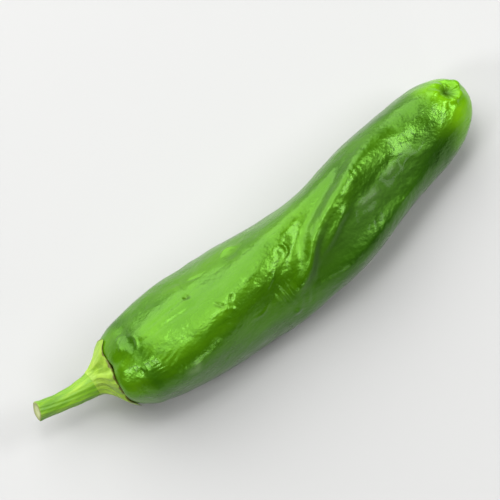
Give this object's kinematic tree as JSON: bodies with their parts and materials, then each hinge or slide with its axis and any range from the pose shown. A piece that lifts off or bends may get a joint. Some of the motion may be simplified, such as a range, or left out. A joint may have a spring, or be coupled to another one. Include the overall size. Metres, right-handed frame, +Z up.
{
  "type": "green chilli pepper",
  "caption": "Fresh green frying chilli lying on its side, with a gently bent, furrowed fruit, its calyx cap and a cut pedicel.",
  "frame": {"origin": "on the surface the pepper lies on, under the middle of its whole length and width", "axes": "+X from the cut pedicel towards the blossom end, +Y to the side that the blossom end bends towards, +Z up"},
  "size_m": [0.1202, 0.0276, 0.0245],
  "materials": {
    "pod_skin": "waxy, glossy thin skin over flesh, deep green on the body and yellow-green at the blossom end",
    "calyx_green": "satin pale green leaf tissue with a thin brown rim",
    "pedicel_green": "satin ribbed green stalk with a pale dry cut end"
  },
  "bodies": {
    "root": {"pod": "pod_skin", "calyx": "calyx_green", "pedicel": "pedicel_green"}
  },
  "joints": []
}
